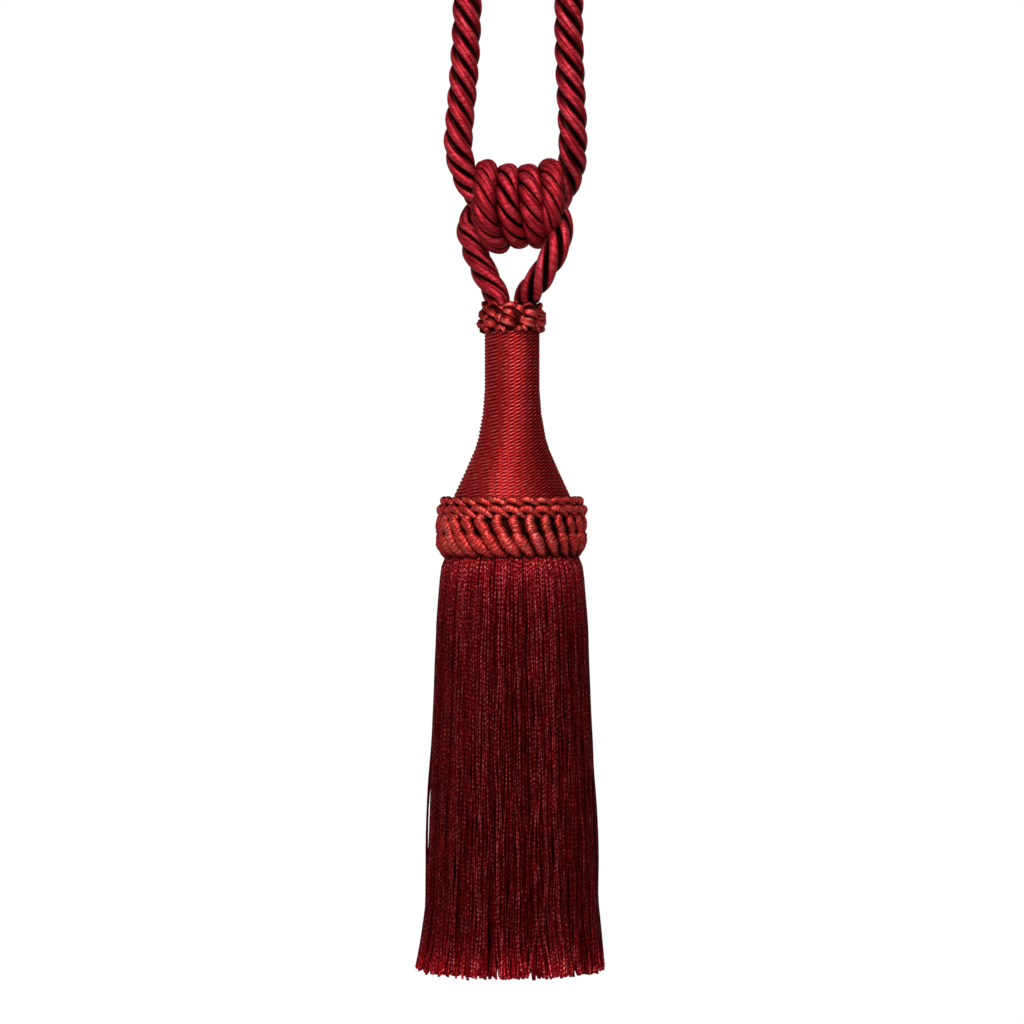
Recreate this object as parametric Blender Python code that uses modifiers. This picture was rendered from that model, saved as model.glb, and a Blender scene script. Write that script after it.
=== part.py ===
"""Curtain tieback tassel: a twisted rope loop with a barrel knot, a ruffled collar, a cord-wound
head, a ruff of slanting gimp and a long bullion skirt.

Sizes are in millimetres and become metres in the meshes. +Z is up, X runs across the loop and -Y is
the front. The origin is where the loop's inner side rests on its hook.
"""

import math
import random

import bmesh
import bpy
from mathutils import Vector

MM = 0.001
GAP = 0.3

# Rope: four strands laid to the left, its section squeezed where it is wound or crossed.
ROPE_RADIUS = 5.5
ROPE_GROOVE = 0.72
ROPE_SHOULDER = 0.97
ROPE_STRANDS = 4
ROPE_LAY = 35.0
ROPE_STEP = 3.5
# How square a squeezed section is, for each millimetre that it is squeezed by.
ROPE_BOXY = 0.3
# Steps of the smooth curve between two rows of the route.
ROUTE_STEPS = 8

# The loop above the knot: half a turn over the hook.
LOOP_X = 2.2
LOOP_RADIUS = 21.0
LOOP_STEPS = 6

# Under this share of X in its direction, the rope counts as running along X.
ROPE_LEAST_FLAT = 0.05

# The knot: one leg winds round the other, whose middle is this line along X.
KNOT_Z = -126.2
# Degrees of the winding between two of its rows.
KNOT_STEP = 15
# Columns: degrees up from the front, x, winding radius, half width along X, half depth.
KNOT_TURNS = (
    (180, -12.9, 11.8, 3.7, 4.8),
    (90, -9.6, 12.4, 3.6, 5.0),
    (0, -10.3, 12.3, 4.1, 5.0),
    (-45, -8.9, 12.7, 4.3, 5.0),
    (-90, -5.2, 13.0, 3.8, 5.1),
    (-180, -4.4, 11.5, 3.7, 4.9),
    (-270, -1.7, 11.0, 3.3, 4.9),
    (-360, -1.6, 11.0, 3.9, 4.9),
    (-450, 2.6, 11.0, 3.2, 4.9),
    (-540, 3.8, 11.3, 3.4, 4.9),
    (-630, 5.8, 11.1, 3.2, 4.9),
    (-720, 7.3, 11.0, 4.1, 4.9),
    (-810, 9.8, 11.0, 3.0, 4.8),
    (-900, 11.8, 11.4, 3.6, 4.9),
    (-990, 13.9, 12.7, 3.8, 5.0),
    (-1080, 15.4, 11.5, 2.7, 4.4),
    (-1125, 15.0, 10.0, 1.6, 3.5),
    (-1170, 16.2, 9.5, 1.9, 3.5),
    (-1260, 19.6, 11.3, 3.3, 4.8),
)

# The legs' middle lines, each from the head upwards or from the loop downwards.
# Columns: x, y, z, half width along X, half depth.
LOWER_LEFT_LEG = (
    (-4.75, 0.0, -168.0, 4.4, 4.9),
    (-4.75, 0.0, -164.4, 4.4, 4.9),
    (-4.9, 0.1, -161.0, 4.4, 4.9),
    (-6.2, 0.7, -158.2, 4.8, 5.1),
    (-8.8, 2.4, -153.4, 4.9, 5.2),
    (-12.8, 5.7, -144.7, 4.9, 5.3),
    (-15.9, 9.2, -137.6, 4.9, 5.2),
    (-16.7, 11.4, -132.2, 4.5, 5.0),
)
UPPER_RIGHT_LEG = (
    (21.0, 9.3, -117.4, 3.7, 4.9),
    (21.9, 6.0, -111.4, 4.0, 5.2),
    (22.5, 2.8, -106.2, 5.0, 5.4),
    (22.8, 0.9, -100.6, 5.5, 5.5),
    (22.2, 0.2, -91.0, 5.5, 5.5),
    (21.5, 0.0, -77.8, 5.5, 5.5),
    (21.0, 0.0, -62.0, 5.5, 5.5),
    (21.1, 0.0, -46.0, 5.5, 5.5),
    (22.0, 0.0, -31.0, 5.5, 5.5),
)
UPPER_LEFT_LEG = (
    (-17.6, 0.0, -31.0, 5.5, 5.5),
    (-16.6, 0.0, -46.0, 5.5, 5.5),
    (-16.9, 0.0, -62.0, 5.5, 5.5),
    (-17.9, 0.0, -79.0, 5.5, 5.5),
    (-19.3, 0.0, -95.0, 5.5, 5.5),
    (-19.9, 0.0, -104.0, 5.3, 5.5),
    (-19.4, -0.3, -111.0, 4.3, 5.5),
    (-17.9, -0.3, -117.0, 3.7, 5.3),
    (-14.0, 0.0, -122.3, 4.1, 5.1),
    (-8.6, 0.0, -125.4, 5.1, 5.2),
    (-3.0, 0.0, -126.2, 5.2, 5.2),
    (4.0, 0.0, -126.2, 5.2, 5.2),
    (10.5, 0.3, -125.6, 5.0, 5.0),
    (14.8, 0.5, -124.2, 4.3, 4.4),
    (18.6, -1.2, -125.4, 3.3, 4.0),
    (20.6, -4.9, -129.2, 2.8, 4.2),
    (20.7, -8.8, -133.8, 2.8, 4.2),
    (19.0, -11.3, -138.8, 3.6, 4.5),
    (15.8, -10.1, -144.8, 4.7, 5.0),
    (11.7, -7.2, -151.0, 4.9, 5.2),
    (8.0, -3.8, -156.2, 5.1, 5.2),
    (5.9, -1.4, -158.9, 4.8, 5.1),
    (4.9, -0.2, -161.4, 4.4, 4.9),
    (4.75, 0.0, -164.6, 4.4, 4.9),
    (4.75, 0.0, -168.0, 4.4, 4.9),
)

# Head: columns z, radius, from the mouth down to the foot inside the ruff.
HEAD_PROFILE = (
    (-168.4, 9.6),
    (-169.4, 10.1),
    (-194.0, 10.2),
    (-203.0, 10.9),
    (-212.0, 12.5),
    (-216.5, 13.9),
    (-223.9, 17.1),
    (-229.5, 19.7),
    (-234.0, 21.8),
    (-235.5, 22.2),
    (-246.0, 22.2),
)
HEAD_SIDES = 40
HEAD_MERGE = 0.01

# Collar: lumps of floss loops. Columns z, radius, how far the lumps swell.
COLLAR_LUMPS = 9
COLLAR_ROWS = (
    (-161.9, 11.1, 0.4),
    (-163.3, 11.8, 1.8),
    (-166.0, 11.8, 2.6),
    (-168.4, 11.4, 0.9),
    (-170.8, 11.8, 2.4),
    (-173.4, 11.6, 1.6),
    (-174.7, 11.0, 0.4),
)
# The neck's round hole from below, and where it narrows to the two ropes' oval one.
COLLAR_NECK_HOLE = 10.55
COLLAR_HOLE_LOW = -168.6
COLLAR_HOLE_STEP = 1.6

# Ruff: slanting gimp cords, hooked under at the foot, below two rows of small arches.
# Columns: z, radius of the swell's crest, depth of the groove, share of a unit that the row is slid.
RUFF_UNITS = 27
RUFF_ROWS = (
    (-234.2, 24.7, 0.9, 0.00),
    (-236.2, 26.0, 1.3, 0.00),
    (-238.0, 26.6, 0.7, 0.25),
    (-240.2, 27.7, 1.5, 0.50),
    (-242.0, 28.3, 2.2, 0.62),
    (-245.0, 28.6, 2.3, 0.85),
    (-248.5, 28.5, 2.3, 1.12),
    (-251.6, 27.9, 2.0, 1.36),
    (-254.3, 26.9, 1.3, 1.52),
    (-255.9, 25.7, 0.4, 1.60),
)
# Sections of one unit, as shares of the groove's depth, from the groove over the crest.
RUFF_UNIT = (0.0, 0.8, 1.0, 0.8)
# The ring's inner side, from the foot upwards. Columns: z, radius, share of a unit slid.
RUFF_INNER = (
    (-255.7, 24.9, 1.60),
    (-246.6, 24.4, 1.00),
    (-244.6, 22.6, 0.90),
    (-234.5, 22.6, 0.00),
)

# Skirt: the fringe's heading, rolled up under the head, and the strands that hang from it.
HEADING_RADIUS = 24.0
HEADING_TOP = -246.4
HEADING_FOOT = -252.4
HEADING_SIDES = 36
# How far a strand sways sideways, differs in length and is turned, and how much thicker its foot is.
STRAND_SEED = 11
STRAND_SWAY = 0.4
STRAND_UNEVEN = 2.2
STRAND_TURN = 0.2
STRAND_THICKER = 0.45
# Outline of the outer strands. Columns: z, radius of the outer side.
SKIRT_OUTLINE = (
    (-252.4, 24.0),
    (-255.8, 24.5),
    (-258.4, 26.1),
    (-262.0, 26.8),
    (-280.0, 28.3),
    (-310.0, 29.5),
    (-350.0, 31.0),
    (-383.0, 32.2),
    (-398.0, 33.6),
    (-409.0, 34.5),
)
SKIRT_FOOT = -408.5
# Heights of a strand's sections, from its root inside the heading, on the outer ring and within it.
OUTER_LEVELS = (-250.8, -255.6, -258.6, -276.0, -330.0, SKIRT_FOOT)
INNER_LEVELS = (-250.8, -264.0, SKIRT_FOOT)
# Rings of strands. Columns: strands, root radius, radius at the foot, sides, levels, thickness.
STRAND_RINGS = (
    (72, 23.0, 33.5, 4, OUTER_LEVELS, 1.7),
    (60, 20.6, 30.0, 3, INNER_LEVELS, 1.8),
    (46, 17.4, 25.5, 3, INNER_LEVELS, 2.0),
    (34, 13.6, 20.0, 3, INNER_LEVELS, 2.2),
    (22, 9.4, 14.0, 3, INNER_LEVELS, 2.3),
    (10, 4.8, 7.5, 3, INNER_LEVELS, 2.4),
)

# Finish of each piece: colour, roughness, metallic.
FINISHES = {
    "rope": ((0.36, 0.016, 0.028), 0.45, 0.0),
    "collar": ((0.52, 0.035, 0.025), 0.50, 0.0),
    "head": ((0.30, 0.010, 0.014), 0.45, 0.0),
    "ruff": ((0.50, 0.030, 0.024), 0.50, 0.0),
    "skirt": ((0.16, 0.004, 0.012), 0.55, 0.0),
}


def clear_scene():
    for old in list(bpy.data.objects):
        bpy.data.objects.remove(old, do_unlink=True)


def collection_for(name):
    made = bpy.data.collections.new(name)
    bpy.context.scene.collection.children.link(made)
    return made


def finish_of(name):
    colour, roughness, metallic = FINISHES[name]
    made = bpy.data.materials.new(name + "_yarn")
    made.use_nodes = True
    shader = made.node_tree.nodes["Principled BSDF"]
    shader.inputs["Base Color"].default_value = (*colour, 1.0)
    shader.inputs["Roughness"].default_value = roughness
    shader.inputs["Metallic"].default_value = metallic
    return made


def place(name, mesh, collection):
    """Puts a mesh in the collection as a smooth-shaded object with its own finish."""
    made = bpy.data.objects.new(name, mesh)
    collection.objects.link(made)
    mesh.materials.append(finish_of(name))
    mesh.shade_smooth()
    return made


def between(a, b, share):
    return a + (b - a) * share


def read_table(rows, z):
    """Reads a table whose first column falls with z, by straight lines between its rows."""
    for upper, lower in zip(rows, rows[1:]):
        if z >= lower[0]:
            share = (upper[0] - z) / (upper[0] - lower[0])
            return [between(a, b, max(share, 0.0)) for a, b in zip(upper[1:], lower[1:])]
    return list(rows[-1][1:])


def smooth_rows(rows, counts):
    """Catmull-Rom rows through the given ones, with counts[i] steps from row i to the next."""
    padded = [rows[0], *rows, rows[-1]]
    found = []
    for near, count in zip(zip(padded, padded[1:], padded[2:], padded[3:]), counts):
        for i in range(count):
            found.append(tuple(curve_value(*values, i / count) for values in zip(*near)))
    found.append(tuple(rows[-1]))
    return found


def curve_value(before, a, b, after, share):
    """Catmull-Rom from a to b."""
    slope = b - before
    bend = 2 * before - 5 * a + 4 * b - after
    turn = 3 * a - before - 3 * b + after
    return 0.5 * (2 * a + slope * share + bend * share**2 + turn * share**3)


def knot_rows():
    """The winding leg's rows x, y, z, half width, half depth, from the left end to the right."""
    counts = [abs(b[0] - a[0]) // KNOT_STEP for a, b in zip(KNOT_TURNS, KNOT_TURNS[1:])]
    found = []
    for angle, x, radius, width, depth in smooth_rows(KNOT_TURNS, counts):
        turn = math.radians(angle)
        y = -radius * math.cos(turn)
        z = KNOT_Z + radius * math.sin(turn)
        found.append((x, y, z, width, depth))
    return found


def loop_rows():
    """The half turn over the hook, from the right leg to the left one."""
    found = []
    for i in range(LOOP_STEPS + 1):
        turn = math.pi * i / LOOP_STEPS
        x = LOOP_X + LOOP_RADIUS * math.cos(turn)
        z = ROPE_RADIUS - LOOP_RADIUS + LOOP_RADIUS * math.sin(turn)
        found.append((x, 0.0, z, ROPE_RADIUS, ROPE_RADIUS))
    return found


def rope_stations():
    """Rows x, y, z, half width, half depth along the whole rope, ROPE_STEP apart, and its length."""
    route = [*LOWER_LEFT_LEG, *knot_rows(), *UPPER_RIGHT_LEG, *loop_rows(), *UPPER_LEFT_LEG]
    fine = smooth_rows(route, [ROUTE_STEPS] * (len(route) - 1))
    along = [0.0]
    for a, b in zip(fine, fine[1:]):
        along.append(along[-1] + math.dist(a[:3], b[:3]))
    count = round(along[-1] / ROPE_STEP)
    stations = []
    at = 0
    for i in range(count + 1):
        wanted = along[-1] * i / count
        while at < len(fine) - 2 and along[at + 1] < wanted:
            at += 1
        share = (wanted - along[at]) / (along[at + 1] - along[at])
        stations.append([between(a, b, share) for a, b in zip(fine[at], fine[at + 1])])
    return stations, along[-1]


def closed_loft(rings, name):
    """A closed mesh through rings of equal length, with a flat cap on each end."""
    bm = bmesh.new()
    made = [[bm.verts.new(Vector(p) * MM) for p in ring] for ring in rings]
    for low, high in zip(made, made[1:]):
        for i in range(len(low)):
            j = (i + 1) % len(low)
            bm.faces.new((low[i], low[j], high[j], high[i]))
    bm.faces.new(reversed(made[0]))
    bm.faces.new(made[-1])
    return mesh_from(bm, name)


def ring_loft(rings, name):
    """A closed mesh through rings that come back to the first one, as round a hole."""
    bm = bmesh.new()
    made = [[bm.verts.new(Vector(p) * MM) for p in ring] for ring in rings]
    for low, high in zip(made, [*made[1:], made[0]]):
        for i in range(len(low)):
            j = (i + 1) % len(low)
            bm.faces.new((low[i], low[j], high[j], high[i]))
    return mesh_from(bm, name)


def mesh_from(bm, name):
    bmesh.ops.recalc_face_normals(bm, faces=bm.faces)
    mesh = bpy.data.meshes.new(name)
    bm.to_mesh(mesh)
    bm.free()
    return mesh


def rope_rings():
    """Lobed sections, one lobe a strand, turned by the lay and squeezed as the rows say."""
    stations, length = rope_stations()
    points = [Vector(row[:3]) for row in stations]
    lobes = (ROPE_GROOVE, ROPE_SHOULDER, ROPE_SHOULDER) * ROPE_STRANDS
    across = Vector((1.0, 0.0, 0.0))
    rings = []
    for i, (x, y, z, width, depth) in enumerate(stations):
        ahead = points[min(i + 1, len(points) - 1)] - points[max(i - 1, 0)]
        ahead.normalize()
        across = (across - ahead * across.dot(ahead)).normalized()
        other = ahead.cross(across)
        flat = Vector((1.0, 0.0, 0.0)) - ahead * ahead.x
        flat = flat.normalized() if flat.length > ROPE_LEAST_FLAT else across
        lay = -2 * math.pi * length * i / (len(points) - 1) / ROPE_LAY
        boxy = 2.0 + ROPE_BOXY * (ROPE_RADIUS - width)
        ring = []
        for j, lobe in enumerate(lobes):
            turn = lay + 2 * math.pi * j / len(lobes)
            spoke = across * math.cos(turn) + other * math.sin(turn)
            part = flat * spoke.dot(flat)
            rest = spoke - part
            full = lobe * (part.length**boxy + rest.length**boxy) ** (-1.0 / boxy)
            ring.append(points[i] + (part * width + rest * depth) * full)
        rings.append(ring)
    return rings


def build_rope(collection):
    return place("rope", closed_loft(rope_rings(), "rope"), collection)


def build_head(collection):
    """The wound mould, turned from its profile."""
    bm = bmesh.new()
    top, foot = HEAD_PROFILE[0][0], HEAD_PROFILE[-1][0]
    outline = [(0.0, top), *[(r, z) for z, r in HEAD_PROFILE], (0.0, foot)]
    verts = [bm.verts.new((r * MM, 0.0, z * MM)) for r, z in outline]
    for a, b in zip(verts, verts[1:]):
        bm.edges.new((a, b))
    mesh = bpy.data.meshes.new("head")
    bm.to_mesh(mesh)
    bm.free()
    head = place("head", mesh, collection)
    turned = head.modifiers.new("turned", "SCREW")
    turned.steps = turned.render_steps = HEAD_SIDES
    turned.use_merge_vertices = True
    turned.merge_threshold = HEAD_MERGE * MM
    return head


def rope_pair_reach(turn):
    """How far the two rope ends, side by side, reach from the middle at this angle, with a gap."""
    apart, half = LOWER_LEFT_LEG[0][0], LOWER_LEFT_LEG[0][4] + 2 * GAP
    along, up = abs(math.cos(turn)), abs(math.sin(turn))
    if along * half <= up * abs(apart):
        return half / up
    return abs(apart) * along + math.sqrt(half**2 - (apart * up) ** 2)


def build_collar(collection):
    """Two rows of lumps outside, an oval hole for the ropes above and a round one for the neck."""
    sides = 4 * COLLAR_LUMPS
    turns = [2 * math.pi * i / sides for i in range(sides)]
    rings = []
    for row, (z, radius, swell) in enumerate(COLLAR_ROWS):
        slid = math.pi / COLLAR_LUMPS if row >= len(COLLAR_ROWS) // 2 else 0.0
        ring = []
        for turn in turns:
            lump = 0.5 + 0.5 * math.cos(COLLAR_LUMPS * (turn + slid))
            r = radius + swell * (lump - 0.5)
            ring.append((r * math.cos(turn), r * math.sin(turn), z + 0.5 * swell * (lump - 0.5)))
        rings.append(ring)
    for z in (COLLAR_ROWS[-1][0] + GAP, COLLAR_HOLE_LOW):
        r = COLLAR_NECK_HOLE
        rings.append([(r * math.cos(t), r * math.sin(t), z) for t in turns])
    for z in (COLLAR_HOLE_LOW + COLLAR_HOLE_STEP, COLLAR_ROWS[0][0] - GAP):
        ring = []
        for turn in turns:
            r = min(rope_pair_reach(turn), COLLAR_NECK_HOLE)
            ring.append((r * math.cos(turn), r * math.sin(turn), z))
        rings.append(ring)
    return place("collar", ring_loft(rings, "collar"), collection)


def build_ruff(collection):
    """Slanting ridges round a ring; each row of the table is slid on by its own share."""
    shares = RUFF_UNIT * RUFF_UNITS
    rings = []
    for z, crest, groove, slid in RUFF_ROWS:
        radii = [crest - groove * (1.0 - share) for share in shares]
        rings.append(ruff_ring(radii, z, slid))
    for z, radius, slid in RUFF_INNER:
        rings.append(ruff_ring([radius] * len(shares), z, slid))
    return place("ruff", ring_loft(rings, "ruff"), collection)


def ruff_ring(radii, z, slid):
    """A ring of points at these radii, turned by a share of a unit."""
    start = 2 * math.pi * slid / RUFF_UNITS
    ring = []
    for i, r in enumerate(radii):
        turn = start + 2 * math.pi * i / len(radii)
        ring.append((r * math.cos(turn), r * math.sin(turn), z))
    return ring


def add_strand(bm, angle, ring, drawn):
    """One hanging strand with its own sway and length. Its root is inside the heading."""
    _, root, foot, sides, levels, thick = ring
    outer_root = read_table(SKIRT_OUTLINE, HEADING_FOOT)[0]
    outer_foot = read_table(SKIRT_OUTLINE, SKIRT_FOOT)[0]
    sway = drawn.uniform(-STRAND_SWAY, STRAND_SWAY)
    longer = drawn.uniform(-STRAND_UNEVEN, STRAND_UNEVEN)
    turned = drawn.uniform(-STRAND_TURN, STRAND_TURN)
    made = []
    for k, z in enumerate(levels):
        outer = read_table(SKIRT_OUTLINE, max(z, SKIRT_FOOT))[0]
        spread = (outer - outer_root) / (outer_foot - outer_root)
        r = between(root, foot, min(max(spread, 0.0), 1.0))
        down = k / (len(levels) - 1)
        half = 0.5 * thick * (1.0 + STRAND_THICKER * down)
        around = angle + sway * down / r
        if z == SKIRT_FOOT:
            z += longer
        level = []
        for j in range(sides):
            turn = angle + turned + 2 * math.pi * (j + 0.5) / sides
            x = r * math.cos(around) + half * math.cos(turn)
            y = r * math.sin(around) + half * math.sin(turn)
            level.append(bm.verts.new(Vector((x, y, z)) * MM))
        made.append(level)
    for low, high in zip(made, made[1:]):
        for j in range(sides):
            bm.faces.new((low[j], low[(j + 1) % sides], high[(j + 1) % sides], high[j]))
    bm.faces.new(made[0])
    bm.faces.new(list(reversed(made[-1])))


def build_skirt(collection, helpers):
    """The heading's disc with every strand joined to it."""
    heading = bmesh.new()
    bmesh.ops.create_cone(
        heading,
        cap_ends=True,
        segments=HEADING_SIDES,
        radius1=HEADING_RADIUS * MM,
        radius2=HEADING_RADIUS * MM,
        depth=(HEADING_TOP - HEADING_FOOT) * MM,
    )
    middle = Vector((0.0, 0.0, (HEADING_TOP + HEADING_FOOT) / 2 * MM))
    bmesh.ops.translate(heading, verts=heading.verts, vec=middle)
    skirt = place("skirt", mesh_from(heading, "skirt"), collection)
    drawn = random.Random(STRAND_SEED)
    strands = bmesh.new()
    for number, ring in enumerate(STRAND_RINGS):
        for i in range(ring[0]):
            add_strand(strands, 2 * math.pi * (i + 0.5 * number) / ring[0], ring, drawn)
    fringe = bpy.data.objects.new("fringe_strands", mesh_from(strands, "fringe_strands"))
    helpers.objects.link(fringe)
    fringe.hide_render = True
    fringe.display_type = "WIRE"
    sewn = skirt.modifiers.new("sewn", "BOOLEAN")
    sewn.operation = "UNION"
    sewn.solver = "EXACT"
    sewn.object = fringe
    return skirt


def main():
    clear_scene()
    tassel = collection_for("curtain_tieback_tassel")
    helpers = collection_for("cutters")
    build_rope(tassel)
    build_head(tassel)
    build_collar(tassel)
    build_ruff(tassel)
    build_skirt(tassel, helpers)


main()
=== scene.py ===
"""Looks of a curtain tieback tassel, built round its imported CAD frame.

A twisted rope loop with a barrel knot, a collar of floss loops, a cord-wound head, a ruff of gimp
cords and a long fringe of twisted yarn. Lengths in the tables and properties are in millimetres,
+Z is up, -Y is the front, and the origin is where the loop rests on its hook.
"""

import math

import bpy
import numpy as np
from bpy.props import FloatProperty, FloatVectorProperty, IntProperty, PointerProperty
from bpy.types import Operator, Panel, PropertyGroup
from mathutils import Matrix


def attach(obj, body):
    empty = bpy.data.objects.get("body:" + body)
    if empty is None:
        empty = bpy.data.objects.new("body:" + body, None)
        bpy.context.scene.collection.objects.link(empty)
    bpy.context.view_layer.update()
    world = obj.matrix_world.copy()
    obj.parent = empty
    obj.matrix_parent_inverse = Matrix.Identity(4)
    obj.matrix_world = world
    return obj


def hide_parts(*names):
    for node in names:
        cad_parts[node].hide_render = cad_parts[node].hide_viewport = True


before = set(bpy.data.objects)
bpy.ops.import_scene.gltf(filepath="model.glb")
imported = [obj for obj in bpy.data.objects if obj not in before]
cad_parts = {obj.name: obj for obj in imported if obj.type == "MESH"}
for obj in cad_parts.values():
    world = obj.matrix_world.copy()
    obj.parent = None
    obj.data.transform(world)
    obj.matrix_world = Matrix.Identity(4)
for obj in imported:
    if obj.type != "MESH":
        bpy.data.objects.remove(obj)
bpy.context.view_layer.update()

bl_info = {
    "name": "Curtain tieback tassel",
    "version": (1, 0, 0),
    "blender": (4, 5, 0),
    "location": "3D View > Sidebar > Tassel",
    "description": "Builds the yarns, cords and fringe of a curtain tieback tassel",
    "category": "Add Mesh",
}

MM = 0.001
TURN = 2.0 * math.pi
TINY = 1e-9
UP = np.array((0.0, 0.0, 1.0))

# Camera: in front of the middle of the view, level, at this distance.
VIEW_DISTANCE = 1443.0
VIEW_HEIGHT = -239.44
VIEW_LENS = 137.1
VIEW_SENSOR = 36.0

# Rope: the loop over the hook, and the barrel knot's middle line and step in degrees.
ROPE_RADIUS = 5.5
LOOP_X = 2.2
LOOP_RADIUS = 21.0
LOOP_STEPS = 6
KNOT_Z = -126.2
KNOT_STEP = 15
# How much squarer the section is for each millimetre of narrowing, and the least share of X
# across the rope at which it is narrowed along X.
ROPE_BOXY = 0.3
ROPE_LEAST_FLAT = 0.05

# Columns: degrees up from the front, x, winding radius, half width along X, half depth.
KNOT_TURNS = (
    (180, -12.9, 11.8, 4.4, 4.9), (90, -9.6, 12.4, 4.5, 5), (0, -10.3, 12.3, 4.8, 5),
    (-45, -8.9, 12.7, 4.9, 5), (-90, -5.2, 13, 4.9, 5.1), (-180, -4.4, 11.5, 4.7, 4.9),
    (-270, -1.7, 11, 4.5, 4.9), (-360, -1.6, 11, 4.6, 4.9), (-450, 2.6, 11, 4.7, 5),
    (-540, 3.8, 11.3, 4.6, 4.9), (-630, 5.8, 11.1, 4.4, 4.9), (-720, 7.3, 11, 5, 5),
    (-810, 9.8, 11, 4.4, 4.9), (-900, 11.8, 11.4, 4.4, 4.9), (-990, 13.9, 12.7, 4.6, 5),
    (-1080, 15.1, 11.7, 4.6, 4.9), (-1125, 13.4, 10.2, 3.7, 4.4), (-1170, 13.4, 9.5, 3.8, 4.3),
    (-1260, 15.9, 10.8, 4.6, 5),
)
# The legs' middle lines. Columns: x, y, z, half width along X, half depth.
LOWER_LEFT_LEG = (
    (-4.75, 0, -168, 4.4, 4.9), (-4.75, 0, -164.4, 4.4, 4.9), (-4.9, 0.1, -161, 4.4, 4.9),
    (-6.2, 0.7, -158.2, 4.8, 5.1), (-8.8, 2.4, -153.4, 4.9, 5.2), (-12.8, 5.7, -144.7, 4.9, 5.3),
    (-15.3, 9.2, -137.6, 4.9, 5.2), (-16.2, 11.4, -132.2, 4.5, 5),
)
UPPER_RIGHT_LEG = (
    (19.9, 8.8, -118.4, 5, 5.1), (22, 6.4, -112.6, 5.4, 5.3), (22.6, 3.4, -106.6, 5.5, 5.4),
    (22.6, 1.2, -100.6, 5.5, 5.5), (22.2, 0.2, -91, 5.5, 5.5), (21.5, 0, -77.8, 5.5, 5.5),
    (21, 0, -62, 5.5, 5.5), (21.1, 0, -46, 5.5, 5.5), (22, 0, -31, 5.5, 5.5),
)
UPPER_LEFT_LEG = (
    (-17.6, 0, -31, 5.5, 5.5), (-16.6, 0, -46, 5.5, 5.5), (-16.9, 0, -62, 5.5, 5.5),
    (-17.9, 0, -79, 5.5, 5.5), (-19.3, 0, -95, 5.5, 5.5), (-19.8, 0, -104, 5.5, 5.5),
    (-18.6, 0.2, -111, 5.2, 5.5), (-16.6, 0.2, -117, 4.8, 5.3), (-13.4, 0, -122.3, 4.6, 5.1),
    (-8.6, 0, -125.4, 5.1, 5.2), (-3, 0, -126.2, 5.2, 5.2), (4, 0, -126.2, 5.2, 5.2),
    (10.5, 0.3, -125.6, 5, 5), (14.4, 0.6, -125.2, 4.4, 4.6), (16.9, -0.6, -128.2, 4.3, 4.5),
    (18.1, -2.8, -132.2, 4.3, 4.6), (18.1, -5.4, -136.4, 4.5, 4.7), (16.8, -7.4, -141.2, 4.8, 4.9),
    (14.4, -7.8, -146.2, 5, 5.1), (11.3, -6.4, -151.4, 4.9, 5.2), (8, -3.6, -156.2, 5.1, 5.2),
    (5.9, -1.4, -158.9, 4.8, 5.1), (4.9, -0.2, -161.4, 4.4, 4.9), (4.75, 0, -164.6, 4.4, 4.9),
    (4.75, 0, -168, 4.4, 4.9),
)
# Steps from one row to the next.
ROUTE_STEPS = 8

# Head: columns z, radius of the wound surface, from the mouth down to the foot inside the ruff.
HEAD_PROFILE = (
    (-168.6, 9.9), (-171, 10.3), (-194, 10.3), (-203, 11), (-212, 12.6),
    (-216.5, 14), (-223.9, 17.2), (-229.5, 19.8), (-234, 21.9), (-236.5, 22.2),
    (-246, 22.2),
)
WINDING_TOP = -169.2
WINDING_FOOT = -237.4

# Skirt: columns z, radius of the outer side.
SKIRT_OUTLINE = (
    (-250, 23.8), (-254.8, 24.6), (-257.2, 26), (-262, 26.9), (-280, 28.4),
    (-310, 29.6), (-350, 31), (-383, 32.2), (-398, 33.6), (-412, 34.9),
)
SKIRT_FOOT = -408.0

WHITE = (1.0, 1.0, 1.0)
# Least share of light on loops and cords that lie deep among others.
LEAST_LIT = 0.08
# Dyed floss throws back its own colour, so part of its shine is tinted.
SATIN = {"Metallic": 0.68, "Specular IOR Level": 0.12, "Specular Tint": (0.9, 0.35, 0.38, 1.0)}
DULL_SATIN = {"Metallic": 0.5, "Specular IOR Level": 0.06, "Specular Tint": (0.9, 0.35, 0.4, 1.0)}


def stacked(*columns):
    """Vectors from their columns, each spread to the shape that they share."""
    return np.stack(np.broadcast_arrays(*columns), axis=-1)


def read_table(rows, z):
    """Reads a two-column table whose first column falls, at one z or an array of them."""
    low_first = np.array(rows[::-1], float)
    return np.interp(z, low_first[:, 0], low_first[:, 1])


def smooth_rows(rows, counts):
    """Catmull-Rom rows through the given ones, with counts[i] steps from row i to the next."""
    rows = np.array(rows, float)
    padded = np.vstack((rows[:1], rows, rows[-1:]))
    found = []
    for i, count in enumerate(counts):
        before, a, b, after = padded[i : i + 4]
        share = (np.arange(count) / count)[:, None]
        squared = 2 * before - 5 * a + 4 * b - after
        cubed = 3 * a - before - 3 * b + after
        found.append(0.5 * (2 * a + (b - before) * share + squared * share**2 + cubed * share**3))
    found.append(rows[-1:])
    return np.vstack(found)


def knot_rows():
    """The winding leg's rows x, y, z, half width, half depth, from the left end to the right."""
    counts = [abs(b[0] - a[0]) // KNOT_STEP for a, b in zip(KNOT_TURNS, KNOT_TURNS[1:])]
    angle, x, radius, width, depth = smooth_rows(KNOT_TURNS, counts).T
    turn = np.radians(angle)
    return stacked(x, -radius * np.cos(turn), KNOT_Z + radius * np.sin(turn), width, depth)


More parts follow.
